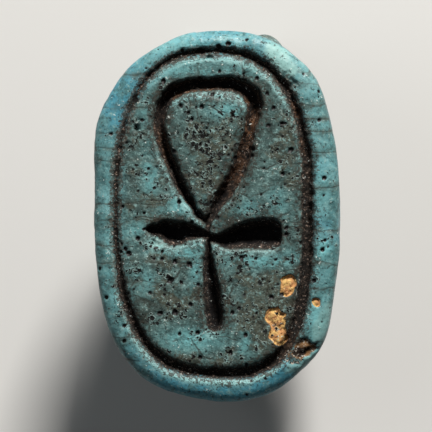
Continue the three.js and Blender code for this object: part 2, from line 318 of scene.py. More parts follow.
def stroke_depth(x, y, line, depth, ragged, looped):
    """Depth of a cut along a line of x, y and half width: s is the distance to the nearest
    place of the line as a share of the half width there, plus a ragged part. Past an end of
    an open line s becomes sqrt(s^2 + (p / STROKE_END)^2), p being how far past it, so the end
    is blunt. The cut has its full depth up to the floor's share and runs out along a smooth
    step to nothing at the shoulder's share. It is less deep where the line is thinner. Beside
    the depth this gives how near the cut is, from 1 at its edge to 0 at SPILL_SHARE."""
    broadest = line[:, 2].max()
    found, near_cut = np.zeros(len(x)), np.zeros(len(x))
    pad = SPILL_SHARE * broadest
    low, high = line[:, :2].min(axis=0) - pad, line[:, :2].max(axis=0) + pad
    near = np.flatnonzero((x > low[0]) & (x < high[0]) & (y > low[1]) & (y < high[1]))
    start, along = line[:-1], np.diff(line, axis=0)
    length2 = (along[:, :2] ** 2).sum(axis=1)
    for part in np.array_split(near, max(1, len(near) // 4000)):
        from_start = np.stack([x[part], y[part]], axis=1)[:, None] - start[None, :, :2]
        t = np.clip((from_start * along[:, :2]).sum(axis=2) / length2, 0, 1)
        away = np.linalg.norm(from_start - t[..., None] * along[:, :2], axis=2)
        half = start[:, 2] + t * along[:, 2]
        share = (away + ragged[part, None]) / half
        best = share.argmin(axis=1)
        rows = np.arange(len(part))
        reach = depth * (SHALLOW_SHARE + (1 - SHALLOW_SHARE) * half[rows, best] / broadest)
        best_share = share[rows, best]
        if not looped:
            for end, before in ((line[0], line[1]), (line[-1], line[-2])):
                outwards = (end - before)[:2] / np.hypot(*(end - before)[:2])
                past = (x[part] - end[0]) * outwards[0] + (y[part] - end[1]) * outwards[1]
                best_share = np.hypot(best_share, np.maximum(past, 0) / STROKE_END)
        found[part] = reach * (1 - smooth_step(best_share, FLOOR_SHARE, SHOULDER_SHARE))
        near_cut[part] = 1 - smooth_step(best_share, 1.0, SPILL_SHARE)
    return found, near_cut


def border_depth(x, y, ragged):
    """Depth of the border line round its own oval, and how near it is. The line is a narrow
    cut in a wide shallow dish, each running out along a smooth step of the distance. Its
    half width and depth swell with the cosine of the angle from where it is widest, and so
    does the band over which its dirt spills."""
    left, right, head, tail = BORDER_INSET.values()
    x = x - (left - right) / 2
    y = y - (tail - head) / 2
    half_width, half_length = (PLATE_WIDTH - left - right) / 2, (PLATE_LENGTH - head - tail) / 2
    inwards = inside_distance(
        x, y, lambda a: oval_radius(a, half_width, half_length) + swell(a, STRAYING))
    angle = np.arctan2(y, x)
    widest = np.cos(angle - math.radians(BORDER_WIDEST_AT))
    half = BORDER_HALF * (1 + BORDER_SWELL * widest)
    away = np.abs(inwards) + ragged
    line = BORDER_DEPTH * half / BORDER_HALF * (1 - smooth_step(away / half, *BORDER_WALL))
    dish = BORDER_DISH * (1 - smooth_step(away, BORDER_DISH_FLOOR, BORDER_DISH_HALF))
    spill_end = BORDER_SPILL[1] + BORDER_SPILL_SWELL * widest
    return line + dish, 1 - smooth_step(away, BORDER_SPILL[0], spill_end)


def carved_depth(x, y):
    """Depth of the border line, and of all cuts together: at each point the deepest one. And
    how near the nearest cut is."""
    flat = np.stack([x, y, np.zeros_like(x)], axis=-1)
    ragged = uneven(flat, "cut edges")
    border, nearest = border_depth(x, y, ragged)
    deepest = border
    for deep, looped, stations in ANKH_STROKES.values():
        placed = [(ANKH_CROSSING[0] + u / 100 * ANKH_WIDTH,
                   ANKH_CROSSING[1] + v / 100 * ANKH_HEIGHT,
                   half / 100 * ANKH_WIDTH) for u, v, half in stations]
        line = smooth_line(placed, STATION_STEPS, looped)
        depth, near_cut = stroke_depth(x, y, line, deep * ANKH_DEPTH, ragged, looped)
        deepest, nearest = np.maximum(deepest, depth), np.maximum(nearest, near_cut)
    return border, deepest, nearest


# Places on the carved face that were broken, stained or cracked, in millimetres
CHIPS = [  # x, y, half width, half length, degrees turned, depth, share of bare core in it
    (3.84, -5.72, 0.54, 0.45, 35, 0.13, 1),
    (4.0, -5.9, 0.24, 0.16, 35, 0.26, 1),
    (3.42, -6.1, 0.4, 0.55, 35, 0.05, 0.5),
    (-2.5, -1.12, 0.36, 0.3, 0, 0.13, 0.3),
    (3.2, 5.8, 0.26, 0.5, 40, 0.08, 0.35),
    (-3.45, 3.75, 0.12, 0.22, -10, 0.16, 0),
    (-0.3, 6.85, 0.16, 0.12, 0, 0.14, 0),
]
WORN = [  # the same, with how pale the glaze is there instead of the last two
    (2.8, 6.74, 0.85, 0.42, -46, 1), (3.6, -6.25, 0.7, 0.3, 35, 0.6),
    (4.6, -4.6, 0.34, 0.8, -20, 0.55), (-2.55, -1.2, 0.45, 0.38, 0, 0.75),
]
MURKY = [  # x, y, half width, half length, strength: where brown shows through the glaze
    (-0.2, 2.7, 1.1, 2.1, 0.9), (-1.9, -3.5, 1.5, 0.5, 0.9), (2.4, -3.9, 1.3, 1.7, 1.3),
    (-2.9, 0.6, 0.9, 0.7, 0.6), (3.0, 2.4, 0.5, 2.6, 0.6), (-1.2, -6.3, 1.6, 0.4, 0.6),
    (3.2, 5.6, 0.5, 0.5, 1), (0.9, -3.9, 0.9, 0.6, 0.5), (-2.1, -1.9, 1.0, 0.4, 0.6),
]
POOLED = [  # the same: where the glaze lies thick and turquoise on the field
    (1.98, -1.85, 1.5, 0.36, 1), (-1.29, -1.55, 0.75, 0.28, 0.9), (-0.85, -2.3, 0.3, 0.7, 0.8),
    (-1.06, -5.35, 1.3, 0.45, 0.9), (-3.1, -2.8, 0.6, 0.5, 0.6), (1.2, -5.5, 0.3, 0.55, 0.7),
    (1.5, 0.3, 0.55, 0.35, 0.7), (-1.5, 0.45, 0.9, 0.4, 0.9), (-2.85, 1.9, 0.35, 1.1, 0.8),
    (-0.4, 6.2, 2.0, 0.33, 0.7), (0.4, 4.55, 0.7, 0.35, 0.8), (1.9, -3.3, 0.5, 0.5, 0.4),
    (-3.5, -0.6, 0.5, 0.6, 0.6), (2.6, 0.5, 0.5, 0.8, 0.5), (-3.2, 4.6, 0.35, 0.8, 0.5),
    (-2.6, -1.3, 0.5, 0.4, 1), (4.6, -1.4, 0.3, 0.5, 1), (4.35, -4.4, 0.35, 0.6, 0.8),
    (-1.2, 7.3, 1.2, 0.3, 0.6), (4.5, 1.2, 0.3, 0.9, 0.5), (-4.5, -1.5, 0.35, 1.5, 0.5),
]
RUSTY = [  # the same: where the dirt is rusty
    (1.4, 3.9, 0.55, 1.3, 1), (0.8, 2.0, 0.7, 1.2, 0.8), (-2.4, 3.0, 0.45, 1.3, 0.5),
    (-0.8, 5.2, 1.3, 0.4, 0.9), (3.3, 3.5, 0.4, 1.6, 0.7), (3.84, -5.72, 0.8, 0.8, 0.6),
]
PITS = [  # x, y, radius of the largest pits
    (0.1, 7.3, 0.14), (0.5, 7.51, 0.14), (1.32, 7.68, 0.09), (-1.48, 7.13, 0.1),
    (-2.27, 5.81, 0.14), (-3.5, 5.02, 0.16), (-4.53, 3.54, 0.09), (-1.52, 4.76, 0.12),
    (-0.62, 4.69, 0.1), (-1.2, 4.45, 0.1), (1.77, 5.95, 0.09), (1.19, 6.14, 0.08),
    (2.47, 4.65, 0.12), (2.2, 5.27, 0.11), (4.44, 4.12, 0.1), (2.84, 4.0, 0.09),
    (3.24, 2.87, 0.14), (2.27, 3.88, 0.11), (4.44, 5.37, 0.08), (2.91, -0.19, 0.08),
    (3.04, -0.78, 0.12), (2.61, -1.0, 0.1), (1.12, -1.77, 0.13), (1.72, -1.82, 0.1),
    (2.58, -1.87, 0.08), (4.7, -1.04, 0.1), (4.6, -1.47, 0.13), (-2.33, -1.55, 0.1),
    (-1.77, -1.96, 0.13), (-1.15, -2.07, 0.15), (-1.98, -2.76, 0.16), (-1.5, -2.87, 0.12),
    (-2.39, -4.2, 0.16), (-1.77, -4.18, 0.16), (-4.78, -3.54, 0.1), (-4.01, -5.42, 0.12),
    (-3.77, -1.62, 0.14), (0.63, -5.9, 0.13), (1.3, -6.4, 0.11), (-0.7, -6.1, 0.12),
]
STAINS = [  # x, y, radius of the orange spots
    (3.08, -2.86, 0.42), (3.06, -3.12, 0.38), (2.48, -4.26, 0.42), (2.68, -4.5, 0.42),
    (2.74, -5.14, 0.46), (4.32, -3.72, 0.22),
]
CRAZE_LEFT = [-6.2, -5.2, -4.37, -2.91, -2.0, -1.19, -0.28, 0.45, 2.35, 2.91, 3.56, 4.63, 6.1]
CRAZE_RIGHT = [-5.6, -4.2, -3.1, -2.1, -0.6, 1.23, 2.69, 3.64, 4.29, 4.89, 5.75, 6.27]
AZURE = [  # degrees from +X, strength, spread: where the rim is azure
    (130, 0.7, 15), (178, 0.12, 26), (289, 1.0, 12), (262, 0.75, 26), (24, 0.3, 10),
    (88, 0.45, 22), (352, 0.45, 12),
]
FACET_CREASE = ((-0.85, 5.12), (1.3, 4.62))
FACET_SLOPE = 0.3
FACET_LENGTH = 0.6
FACET_START = (-1.0, -0.6)  # x between which it begins
FACET_END = (1.1, 1.6)  # and ends
# The lip of a cut on the side away from the key light faces that light, and is painted pale there
# as a highlight.
LIP_REACH = (0.1, 0.36)  # a point is on a pale lip if the face is cut this far from it
FIELD_START = (1.0, 1.6)  # distances from the edge between which the rim turns into the field
CRAZE_SIDES = (1.2, 2.6)  # distances from the middle line between which the craze lines begin
CRAZE_STRENGTH = 0.45

# Scattered pits, one at most in each cube of a lattice
PIT_SPACING = 0.3
PIT_STEEPNESS = 8  # how fast a pit shrinks as its own number nears the share
PIT_LEAST = 1e-6  # what is left of the radius of one that shrank to nothing
FACE_PITS = ((0.045, 0.13), 70)  # smallest and largest radius, and seed
FROG_PITS = ((0.05, 0.13), 170)
CROWDED = [(-0.3, 3.0, 1.1, 1.9, 1)]  # as MURKY: where they are crowded
FACE_PIT_SHARES = (0.2, 0.25, 0.4)  # on the rim, what the field adds, and the crowded place
FROG_PIT_SHARE = 0.26
FINE_PIT_SHARES = (0.12, 0.22, 0.36)  # the same for the small pits of the finish
FROG_FINE_PIT_SHARE = 0.25

# Depths of the relief, in millimetres
PIT_DEPTH = 0.11
FROG_PIT_DEPTH = 0.09
STAIN_HOLLOW = 0.12
STAIN_CRUST = 0.06
FROG_INWARDS = 0.01  # the lower part's skin is moved inwards by this
HOLLOW_REACH = 0.4  # how far out from the skin hollows are looked for


def ellipse_share(x, y, place):
    """Distance from the middle of a turned ellipse as a share of the way to its edge."""
    cx, cy, half_width, half_length, degrees = place
    turn = math.radians(degrees)
    u = (x - cx) * math.cos(turn) + (y - cy) * math.sin(turn)
    v = (y - cy) * math.cos(turn) - (x - cx) * math.sin(turn)
    return np.hypot(u / half_width, v / half_length)


def soft_places(x, y, places):
    """At each point the strongest of some places, each a bell curve with its own widths."""
    return np.max([strength * np.exp(-(((x - cx) / width) ** 2) - ((y - cy) / length) ** 2)
                   for cx, cy, width, length, strength in places], axis=0)


def chip_depth(points):
    """Depth of the chips, and how bare the core lies: a hollow inside each ellipse, its rim
    made ragged by noise, with a floor that noise makes rough."""
    x, y = points[:, 0], points[:, 1]
    ragged = uneven(points, "chip rims")
    bumpy = 1 + uneven(points, "chip floors")
    deepest, bare = np.zeros(len(points)), np.zeros(len(points))
    for *place, depth, core in CHIPS:
        inside = 1 - smooth_step(ellipse_share(x, y, place) + ragged, 0.65, 1.1)
        deepest = np.maximum(deepest, depth * inside * bumpy)
        bare = np.maximum(bare, core * inside)
    return deepest, bare


def large_pits(points):
    """How far into a listed pit each point lies: 1 less its distance over the radius, with
    the distance made uneven by noise."""
    wavering = 1 + uneven(points, "pit rims")
    shares = [1 - np.hypot(points[:, 0] - x, points[:, 1] - y) * wavering / radius
              for x, y, radius in PITS]
    return np.maximum(np.max(shares, axis=0), 0)


def loop_facet(x, y):
    """Depth of the facet inside the head of the ankh's loop: it falls from a crease towards
    the head, by a share of the distance, between two ends."""
    start, end = np.array(FACET_CREASE)
    along = (end - start) / np.linalg.norm(end - start)
    ahead = (y - start[1]) * along[0] - (x - start[0]) * along[1]
    between = smooth_step(x, *FACET_START) * (1 - smooth_step(x, *FACET_END))
    return FACET_SLOPE * np.clip(ahead, 0, FACET_LENGTH) * between


def stain_share(x, y, ragged):
    """1 at the middle of each orange spot, 0 at its ragged rim and below 0 outside."""
    shares = [1 - np.hypot(x - cx, y - cy) / radius for cx, cy, radius in STAINS]
    return np.clip(np.max(shares, axis=0) + ragged, -1, 1)


# Upper part of the skin

def even_ring(count, inset, start_share):
    """Points at even steps along the plate's outline, moved inwards by an inset, and their
    outward directions, all as complex numbers x + iy. A fine walk round the inset outline
    gives each angle's length of way, and even lengths are looked up in it. The first point
    lies at the start share of the way from the left middle."""
    angle = np.linspace(-math.pi, math.pi, OUTLINE_WALK)
    walk = plate_radius(angle) * np.exp(1j * angle)
    along = np.gradient(walk)
    walk = walk + 1j * inset * along / np.abs(along)
    way = np.concatenate([[0], np.cumsum(np.abs(np.diff(walk)))])
    wanted = (start_share + np.arange(count) / count) % 1 * way[-1]
    angle = np.interp(wanted, way, angle)
    ahead = plate_radius(angle + SMALL_TURN) * np.exp(1j * (angle + SMALL_TURN))
    back = plate_radius(angle - SMALL_TURN) * np.exp(1j * (angle - SMALL_TURN))
    outwards = (ahead - back) / np.abs(ahead - back) * -1j
    return plate_radius(angle) * np.exp(1j * angle) - inset * outwards, outwards


def upper_part():
    """The carved face as a grid of u and v from -1 to 1, bent from a rectangle to the oval:
    a point's place is its ring, max(|u|, |v|), times the outline's point that its ray
    meets. From the face's rim, rings go round the edge by a quarter turn t, EDGE_IN (1 -
    sin t) inside the outline and EDGE_DOWN (1 - cos t) below the face, and down the wall.
    Returns places, outward directions and quads, and the last ring's numbers."""
    columns = 2 * round((PLATE_WIDTH / 2 - EDGE_IN) / FACE_STEP)
    rows = 2 * round((PLATE_LENGTH / 2 - EDGE_IN) / FACE_STEP)
    around = 2 * (columns + rows)
    start_share = 0.5 - rows / around / 2
    rim, outwards = even_ring(around, EDGE_IN, start_share)

    u, v = np.meshgrid(np.linspace(-1, 1, columns + 1), np.linspace(-1, 1, rows + 1))
    ring = np.maximum(np.abs(u), np.abs(v))
    safe = np.where(ring > 0, ring, 1)
    s, t = u / safe, v / safe
    right, top, left = s >= 1, t >= 1, s <= -1
    step = np.where(right, (t + 1) / 2 * rows, np.where(
        top, rows + (1 - s) / 2 * columns, np.where(
            left, rows + columns + (1 - t) / 2 * rows,
            2 * rows + columns + (s + 1) / 2 * columns)))
    low = np.floor(step).astype(int) % around
    place = rim[low] + (step - np.floor(step)) * (rim[(low + 1) % around] - rim[low])
    place = ring * place
    numbers = np.arange(place.size).reshape(place.shape)
    quads = [np.stack([numbers[:-1, :-1], numbers[:-1, 1:], numbers[1:, 1:], numbers[1:, :-1]],
                      axis=-1).reshape(-1, 4)]
    face_rim = np.concatenate([
        numbers[:-1, -1], numbers[-1, :0:-1], numbers[:0:-1, 0], numbers[0, :-1]])

    bend = math.pi / 4 * (EDGE_IN + EDGE_DOWN)  # about the round's length
    turns = np.linspace(0, math.pi / 2, round(bend / FACE_STEP))[1:]
    wall = SEAL_FACE - EDGE_DOWN - JOIN_LEVEL
    falls = np.linspace(0, wall, round(wall / (WALL_STRETCH * FACE_STEP)) + 1)[1:]
    insets = np.concatenate([EDGE_IN * (1 - np.sin(turns)), 0 * falls])
    drops = np.concatenate([EDGE_DOWN * (1 - np.cos(turns)), EDGE_DOWN + falls])
    leans = np.concatenate([turns, 0 * falls + math.pi / 2])

    outer = rim[None] + (EDGE_IN - insets)[:, None] * outwards[None]
    x = np.concatenate([place.real.ravel(), outer.real.ravel()])
    y = np.concatenate([place.imag.ravel(), outer.imag.ravel()])
    z = SEAL_FACE - np.concatenate([np.zeros(place.size), np.repeat(drops, around)])
    sideways = np.outer(np.sin(leans), outwards).ravel()
    normals = np.stack([
        np.concatenate([np.zeros(place.size), sideways.real]),
        np.concatenate([np.zeros(place.size), sideways.imag]),
        np.concatenate([np.ones(place.size), np.repeat(np.cos(leans), around)])], axis=1)

    rings = place.size + np.arange(outer.size).reshape(outer.shape)
    rings = np.vstack([face_rim[None], rings])
    following = np.roll(rings, -1, axis=1)
    quads.append(np.stack([rings[:-1], rings[1:], following[1:], following[:-1]],
                          axis=-1).reshape(-1, 4))
    return np.stack([x, y, z], axis=1), normals, np.vstack(quads), rings[-1]


def carve(points, normals):
    """Moves the upper part's points: along their outward direction by the unevenness of the
    glaze and into its pits and chips, and straight down by the depth of the cuts. Returns
    the points and what the finish needs to know of each of them."""
    x, y = points[:, 0], points[:, 1]
    facing_up = smooth_step(normals[:, 2], 0.05, 0.4)
    border, cut, near_cut = carved_depth(x, y) * facing_up
    cut_ahead = carved_depth(x + LIP_REACH[0], y + LIP_REACH[1])[1] * facing_up
    # Painted highlight: the lip of a cut that faces the key light.
    lip = smooth_step(cut_ahead, 0.05, 0.45) * (1 - smooth_step(cut, 0.03, 0.15))
    chip, bare = chip_depth(points)
    field = smooth_step(inside_distance(x, y, plate_radius), *FIELD_START)
    crowded = soft_places(x, y, CROWDED)
    share, fine_share = (on_rim + on_field * field + in_crowd * crowded
                         for on_rim, on_field, in_crowd in (FACE_PIT_SHARES, FINE_PIT_SHARES))
    pit = np.maximum(scattered_pits(points, *FACE_PITS, share), large_pits(points))
    floor = smooth_step(cut, 0.1, 0.3)
    stain = stain_share(x, y, uneven(points, "stain rims"))
    pressed = uneven(points, "glaze swells") + uneven(points, "glaze ripples") - chip
    pressed += floor * uneven(points, "dirt crumbs") - loop_facet(x, y)
    pressed -= PIT_DEPTH * smooth_step(pit, 0, 0.8) * (1 - 0.6 * floor)
    pressed -= STAIN_HOLLOW * smooth_step(stain, 0, 0.25)
    pressed += STAIN_CRUST * smooth_step(stain, 0.3, 0.6)
    moved = points + pressed[:, None] * normals
    moved[:, 2] -= cut
    moved[:, 2] = np.minimum(moved[:, 2], SEAL_FACE)
    return moved, {
        "cut": cut,
        "border": border,
        "pit": pit,
        "pitted": fine_share * (1 - floor),
        "field": field,
        "bare": bare,
        "stain": stain,
        "dirt_spill_and_hollow_shade": near_cut,
        "lip": lip,
        **glaze_marks(points, field),
    }


def glaze_marks(points, field):
    """Where the glaze is azure, worn pale, murky or pooled, where the dirt is rusty, and the
    craze lines: the signed distance to the nearest line, and how strong the line is."""
    x, y = points[:, 0], points[:, 1]
    azure = swell(np.arctan2(y, x), AZURE) * (1 - field)
    ragged = uneven(points, "worn rims")
    worn = np.max([pale * (1 - smooth_step(ellipse_share(x, y, place) + ragged, 0.75, 1.15))
                   for *place, pale in WORN], axis=0)
    distance, strength = side_lines(points)
    return {"azure": azure, "worn": worn, "murk": soft_places(x, y, MURKY),
            "pooled": soft_places(x, y, POOLED), "rust": soft_places(x, y, RUSTY),
            "craze": distance, "crazed": strength * (1 - 0.35 * field)}


def side_lines(points):
    """The craze lines that cross the rim on the left and on the right: the distance to the
    nearest one, bent by noise, and how strong it is."""
    x, y = points[:, 0], points[:, 1]
    bend = uneven(points, "craze bends") + uneven(points, "craze kinks")
    distance = np.where(x < 0, alternating_distance(y + bend, CRAZE_LEFT),
                        alternating_distance(y + bend, CRAZE_RIGHT))
    strength = CRAZE_STRENGTH + uneven(points, "craze strength") + uneven(points, "craze gaps")
    return distance, smooth_step(np.abs(x), *CRAZE_SIDES) * strength


# Lower part of the skin

def into_frog(points):
    """Points of the model's frame in the frog's own, where it squats upright on the plate:
    turned back by its turn about Z, then by half a turn about Y."""
    x, y = points[..., 0], points[..., 1] - FROG_AHEAD
    across = x * math.cos(FROG_TURN) - y * math.sin(FROG_TURN)
    along = x * math.sin(FROG_TURN) + y * math.cos(FROG_TURN)
    return np.stack([-across, along, PLATE_BACK - points[..., 2]], axis=-1)


def swelling(q, at, radii, turn=0.0):
    """Distance to an ellipsoid, near enough: with k the length of the point's place over
    the radii, and m that of its place over their squares, k (k - 1) / m. A turned one is
    turned about X and then about Z, by the same angle."""
    away = q - np.array(at) * FROG_SHARES
    if turn:
        x, y, z = away[..., 0], away[..., 1], away[..., 2]
        y, z = y * math.cos(turn) + z * math.sin(turn), z * math.cos(turn) - y * math.sin(turn)
        x, y = x * math.cos(turn) + y * math.sin(turn), y * math.cos(turn) - x * math.sin(turn)
        away = np.stack([x, y, z], axis=-1)
    size = np.array(radii) * FROG_SHARES
    k = np.linalg.norm(away / size, axis=-1)
    m = np.linalg.norm(away / size**2, axis=-1)
    return k * (k - 1) / np.maximum(m, 1e-9)


def limb(q, start, end, radius):
    """Distance to a rod with round ends: to its middle line, less its radius."""
    start, end = np.array(start) * FROG_SHARES, np.array(end) * FROG_SHARES
    along = end - start
    t = np.clip(((q - start) * along).sum(axis=-1) / (along @ along), 0, 1)
    return np.linalg.norm(q - start - t[..., None] * along, axis=-1) - radius / 100 * FROG_HEIGHT


def blend(a, b, width):
    """The nearer of two surfaces, with a fillet: less (w - |a - b|)^2 / 4w where they come
    within the width w of each other."""
    near = np.maximum(width - np.abs(a - b), 0)
    return np.minimum(a, b) - near * near / (4 * width)


def plate_distance(points):
    """Distance to the plate's lower part: its outline carried up and down, and its back
    face, with a round between them."""
    side = BACK_EDGE_ROUND - inside_distance(points[..., 0], points[..., 1], plate_radius)
    under = BACK_EDGE_ROUND + PLATE_BACK - points[..., 2]
    outside = np.hypot(np.maximum(side, 0), np.maximum(under, 0))
    return outside + np.minimum(np.maximum(side, under), 0) - BACK_EDGE_ROUND


def frog_distance(points):
    """Distance to the frog. Its trunk, limbs and toes are blended with ever narrower
    fillets, eyes are set in a groove, and the mouth is a groove round the head."""
    q = into_frog(points)
    across = np.abs(q[..., 0])
    half = np.stack([across, q[..., 1], q[..., 2]], axis=-1)
    head = blend(swelling(half, *TRUNK["head"]), swelling(half, *TRUNK["snout"]),
                 FILLETS["head"])
    body = swelling(half, *TRUNK["back"])
    for name in ("rump", "belly", "nape", "chest"):
        body = blend(body, swelling(half, *TRUNK[name]), FILLETS["trunk"])
    for name, (at, radii) in LIMB_SWELLINGS.items():
        turn = THIGH_TURN if name == "thigh" else 0
        body = blend(body, swelling(half, at, radii, turn), FILLETS["swelling"])
    for start, end, radius in LIMBS.values():
        body = blend(body, limb(half, start, end, radius), FILLETS["limb"])
    for root, angles, length in TOES:
        for angle in map(math.radians, angles):
            tip = (root[0] + length * math.sin(angle) * FROG_LENGTH / FROG_WIDTH,
                   root[1] + length * math.cos(angle), root[2])
            body = blend(body, limb(half, root, tip, TOE_RADIUS), FILLETS["toe"])

    mouth = MOUTH_LEVEL * FROG_SHARES[2] + MOUTH_RISE * ((across / FROG_WIDTH * 4) ** 2 - 0.5)
    lips = np.exp(-(((q[..., 2] - mouth) / MOUTH_HALF) ** 2))
    ahead = smooth_step(q[..., 1], MOUTH_BACK * FROG_SHARES[1], MOUTH_FRONT * FROG_SHARES[1])
    head = head + MOUTH_DEPTH * lips * ahead
    from_nostril = np.linalg.norm(half - np.array(NOSTRIL) * FROG_SHARES, axis=-1)
    head = np.maximum(head, NOSTRIL_RADIUS - from_nostril)
    eye = swelling(half, *EYE)
    depth, away, half_groove = EYE_GROOVE
    head = head + depth * np.exp(-(((eye - away) / half_groove) ** 2))
    return blend(blend(body, head, FILLETS["neck"]), eye, FILLETS["eye"])


def lower_distance(points):
    """Distance to the lower part: plate and frog together, less the thread hole, with what
    would lie below the resting surface cut off flat."""
    together = blend(plate_distance(points), frog_distance(points), FILLETS["plate"])
    q = into_frog(points)
    rise = THREAD_HOLE_RISE + THREAD_HOLE / 2
    hole = np.hypot(q[..., 0], q[..., 2] - rise) - THREAD_HOLE / 2
    pierced = -blend(-together, hole, FILLETS["thread hole"])
    return np.maximum(pierced, -points[..., 2])


def downhill(distance, points, step=0.01):
    """The slope of a distance function, by central differences."""
    shifts = np.eye(3) * step
    return np.stack([distance(points + s) - distance(points - s) for s in shifts],
                    axis=-1) / (2 * step)


def level_skin(distance, low, high, step):
    """The zero level of a distance function as quads: space is cut into cubes, each cube
    that the level passes through has one point, at the mean of the places where the level
    crosses its edges, and each edge that it crosses gives a quad of the four cubes round
    it. The points are then moved onto the level along its slope."""
    counts = np.ceil((high - low) / step).astype(int) + 1
    axes = [low[i] + step * np.arange(counts[i]) for i in range(3)]
    values = np.empty(counts)
    for k in range(counts[2]):
        layer = np.stack(np.meshgrid(axes[0], axes[1], axes[2][k], indexing="ij"), axis=-1)
        values[:, :, k] = distance(layer[:, :, 0])
    inside = values < 0

    cubes = counts - 1
    total = np.zeros((*cubes, 3))
    crossed = np.zeros(cubes)
    for axis in range(3):
        others = [i for i in range(3) if i != axis]
        for a, b in itertools.product((0, 1), repeat=2):
            start = [slice(0, n) for n in cubes]
            start[others[0]] = slice(a, a + cubes[others[0]])
            start[others[1]] = slice(b, b + cubes[others[1]])
            end = list(start)
            end[axis] = slice(1, 1 + cubes[axis])
            first, second = values[tuple(start)], values[tuple(end)]
            cross = (first < 0) != (second < 0)
            share = np.where(cross, first / np.where(cross, first - second, 1), 0)
            total[..., axis] += share
            total[..., others[0]] += a * cross
            total[..., others[1]] += b * cross
            crossed += cross
    active = np.argwhere(crossed > 0)
    numbers = np.full(cubes, -1)
    numbers[tuple(active.T)] = np.arange(len(active))
    mean = total[tuple(active.T)] / crossed[tuple(active.T)][:, None]
    points = low + step * (active + mean)

    quads = []
    for axis in range(3):
        one, two = (axis + 1) % 3, (axis + 2) % 3
        here = np.take(inside, range(cubes[axis]), axis=axis)
        there = np.take(inside, range(1, cubes[axis] + 1), axis=axis)
        edges = np.argwhere(here != there)
        kept = ((edges[:, one] > 0) & (edges[:, one] < cubes[one])
                & (edges[:, two] > 0) & (edges[:, two] < cubes[two]))
        edges = edges[kept]
        corners = []
        for back_one, back_two in ((1, 1), (0, 1), (0, 0), (1, 0)):
            cell = edges.copy()
            cell[:, one] -= back_one
            cell[:, two] -= back_two
            corners.append(numbers[tuple(cell.T)])
        quad = np.stack(corners, axis=1)
        outwards = here[tuple(edges.T)]
        quads.append(np.where(outwards[:, None], quad, quad[:, ::-1]))

    for _ in range(3):
        slope = downhill(distance, points)
        move = -distance(points)[:, None] * slope / np.maximum((slope**2).sum(axis=1), 0.2)[:, None]
        points += np.clip(move, -0.4 * step, 0.4 * step)
    return points, np.vstack(quads), active[:, 2] == cubes[2] - 1


def lower_part():
    """The frog and the plate's lower wall, open at the top, where the points of the highest
    cubes form a ring. They are set onto the outline at one level and put in order by their
    angle. Points, quads, the ring's numbers and the finish's values."""
    step = FROG_STEP
    top = JOIN_LEVEL - 0.45 * step
    margin = 2.3 * step
    high = np.array([PLATE_WIDTH / 2 + margin, PLATE_LENGTH / 2 + margin, top])
    low = -high
    low[2] = top - step * math.ceil((top + 1.5 * step) / step)
    points, quads, at_top = level_skin(lower_distance, low, high, step)
    rim = np.flatnonzero(at_top)
    angle = np.arctan2(points[rim, 1], points[rim, 0])
    rim = rim[np.argsort(angle)]
    angle = np.sort(angle)
    radius = plate_radius(angle)
    points[rim] = np.stack([radius * np.cos(angle), radius * np.sin(angle),
                            np.full(len(rim), top - step / 2)], axis=1)
    slope = downhill(lower_distance, points)
    normals = slope / np.linalg.norm(slope, axis=1)[:, None]

    hollow = 1 - lower_distance(points + HOLLOW_REACH * normals) / HOLLOW_REACH
    resting = 1 - smooth_step(points[:, 2], 0.0, 0.02)
    held = np.maximum(resting, 1 - smooth_step(JOIN_LEVEL - points[:, 2], 0.1, 0.4))
    pit = scattered_pits(points, *FROG_PITS, FROG_PIT_SHARE) * (1 - resting)
    pressed = uneven(points, "frog swells") - FROG_PIT_DEPTH * smooth_step(pit, 0, 0.8)
    moved = points + (pressed * (1 - held) - FROG_INWARDS * (1 - resting))[:, None] * normals
    moved[:, 2] = np.maximum(moved[:, 2], 0)
    nothing = np.zeros(len(points))
    worn = smooth_step(-hollow, 0.1, 0.45) * 0.5 + 0.5 * resting
    side = 1 - smooth_step(PLATE_BACK + 0.2 - points[:, 2], 0, 0.3)
    distance, strength = side_lines(points)
    return moved, quads, rim, {
        # On the frog the dirt follows how hollow the skin is, so it paints shade in the creases as
        # well as dirt, and so do the grains and rust below.
        "cut": 0.42 * smooth_step(hollow + uneven(points, "frog hollow dirt and shade"), 0.28, 0.75),
        "border": nothing,
        "pit": pit,
        "pitted": FROG_FINE_PIT_SHARE * (1 - resting),
        "field": 0.75 - 0.45 * side,
        "bare": nothing,
        "stain": nothing - 1,
        "dirt_spill_and_hollow_shade": smooth_step(hollow, 0.1, 0.6),
        "lip": nothing,
        "murk": (1 - resting) * (0.35 + 0.3 * smooth_step(uneven(points, "frog murk"), 0, 0.8)),
        "pooled": nothing,
        "rust": 0.5 * smooth_step(hollow, 0.2, 0.6),
        "azure": 0.35 + uneven(points, "frog azure") + 0.25 * side,
        "worn": worn,
        "craze": distance,
        "crazed": strength * side,
    }


# One skin

def stitch(upper_ring, upper_angle, lower_ring, lower_angle):
    """Triangles between two rings: both rings' points are met in order of their angle, and
    each point is joined to the one before it on its own ring and to the last one met on
    the other."""
    upper_order, lower_order = np.argsort(upper_angle), np.argsort(lower_angle)
    upper_ring, upper_angle = upper_ring[upper_order], upper_angle[upper_order]
    lower_ring, lower_angle = lower_ring[lower_order], lower_angle[lower_order]
    below = lower_ring[np.searchsorted(lower_angle, upper_angle, side="right") - 1]
    above = upper_ring[np.searchsorted(upper_angle, lower_angle, side="left") - 1]
    return np.vstack([
        np.stack([np.roll(upper_ring, 1), below, upper_ring], axis=1),
        np.stack([np.roll(lower_ring, 1), lower_ring, above], axis=1)])


